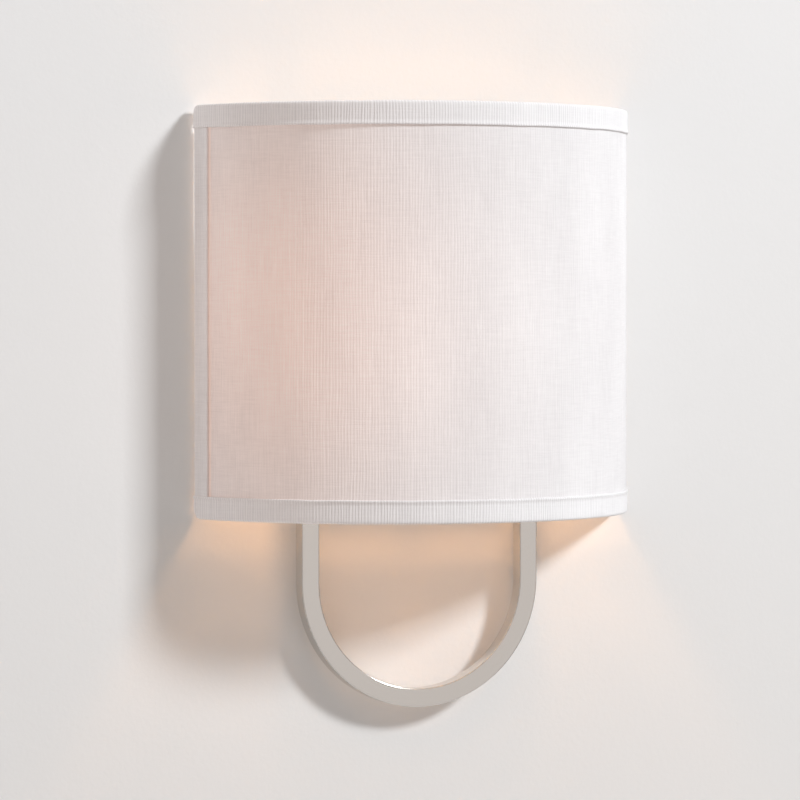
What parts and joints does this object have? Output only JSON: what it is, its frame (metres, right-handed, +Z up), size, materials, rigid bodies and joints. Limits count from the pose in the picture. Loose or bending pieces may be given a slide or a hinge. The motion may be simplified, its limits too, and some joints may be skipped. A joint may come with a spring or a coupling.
{
  "type": "fabric shade wall light",
  "caption": "Wall light with a half-drum linen shade in front of a wall pan, and a square nickel bar bent into an open loop below it.",
  "frame": {"origin": "centre of the face that lies on the wall, midway up the shade", "axes": "+Z up, +Y into the wall, +X to the right for someone facing the light, so the front faces -Y"},
  "size_m": [0.2556, 0.1024, 0.3282],
  "materials": {
    "linen": "off-white slubby linen, plain weave",
    "linen_binding": "the same linen, folded double",
    "shade_lining": "translucent white sheet",
    "frame_wire": "white enamel",
    "polished_nickel": "polished nickel",
    "plate_nickel": "satin nickel",
    "zinc_steel": "zinc plated steel",
    "green_screw": "green dyed zinc",
    "phenolic": "moulded black phenolic",
    "brass": "bright brass",
    "bulb_glass": "frosted glass, lit",
    "bulb_metal": "nickel plated brass",
    "bulb_black_glass": "black glass",
    "solder": "solder",
    "stem_glass": "clear glass",
    "filament_wire": "tungsten wire, lit",
    "black_insulation": "wire insulation",
    "white_insulation": "wire insulation",
    "green_insulation": "wire insulation",
    "bushing_black": "nylon",
    "wire_nut_orange": "moulded plastic"
  },
  "bodies": {
    "fixture": {"wall_plate": "plate_nickel", "mounting_strap": "zinc_steel", "loop_bar": "polished_nickel", "loop_screws": "zinc_steel", "plate_studs": "zinc_steel", "plate_cap_nuts": "polished_nickel", "shade_studs": "polished_nickel", "bracket_screws": "zinc_steel", "ground_screws": "green_screw", "ground_lead": "green_insulation", "lamp_bracket": "plate_nickel", "wire_bushing": "bushing_black", "socket_left_housing": "phenolic", "socket_left_shell": "brass", "socket_left_contact": "brass", "socket_right_housing": "phenolic", "socket_right_shell": "brass", "socket_right_contact": "brass", "socket_nipples": "zinc_steel", "socket_locknuts": "zinc_steel", "lead_left_black": "black_insulation", "lead_left_white": "white_insulation", "lead_right_black": "black_insulation", "lead_right_white": "white_insulation", "wire_nuts": "wire_nut_orange"},
    "shade": {"linen_cover": "linen", "shade_liner": "shade_lining", "top_band": "linen_binding", "bottom_band": "linen_binding", "side_trim_left": "linen_binding", "side_trim_right": "linen_binding", "frame_top_arc": "frame_wire", "frame_bottom_arc": "frame_wire", "frame_upright_left": "frame_wire", "frame_upright_right": "frame_wire", "frame_hanger": "frame_wire", "frame_bottom_crosswire": "frame_wire"},
    "bulb_left": {"bulb_left_glass": "bulb_glass", "bulb_left_base": "bulb_metal", "bulb_left_insulator": "bulb_black_glass", "bulb_left_tip": "solder", "bulb_left_stem": "stem_glass", "bulb_left_filament": "filament_wire"},
    "bulb_right": {"bulb_right_glass": "bulb_glass", "bulb_right_base": "bulb_metal", "bulb_right_insulator": "bulb_black_glass", "bulb_right_tip": "solder", "bulb_right_stem": "stem_glass", "bulb_right_filament": "filament_wire"},
    "thumb_nut_left": {"thumb_nut_left": "polished_nickel"},
    "thumb_nut_right": {"thumb_nut_right": "polished_nickel"}
  },
  "joints": [
    {"name": "shade_lift", "type": "slide", "parent": "fixture", "child": "shade", "axis": [0, 0, 1], "range_m": [0, 0.01]},
    {"name": "bulb_left_turn", "type": "hinge", "parent": "fixture", "child": "bulb_left", "pos_m": [-0.042, -0.055, 0], "axis": [0, 0, 1], "range_deg": [0, 1080]},
    {"name": "bulb_right_turn", "type": "hinge", "parent": "fixture", "child": "bulb_right", "pos_m": [0.042, -0.055, 0], "axis": [0, 0, 1], "range_deg": [0, 1080]},
    {"name": "thumb_nut_left_turn", "type": "hinge", "parent": "fixture", "child": "thumb_nut_left", "pos_m": [-0.0645, -0.0206, 0.088], "axis": [0, -1, 0], "range_deg": [0, 1440]},
    {"name": "thumb_nut_right_turn", "type": "hinge", "parent": "fixture", "child": "thumb_nut_right", "pos_m": [0.0645, -0.0206, 0.088], "axis": [0, -1, 0], "range_deg": [0, 1440]}
  ]
}
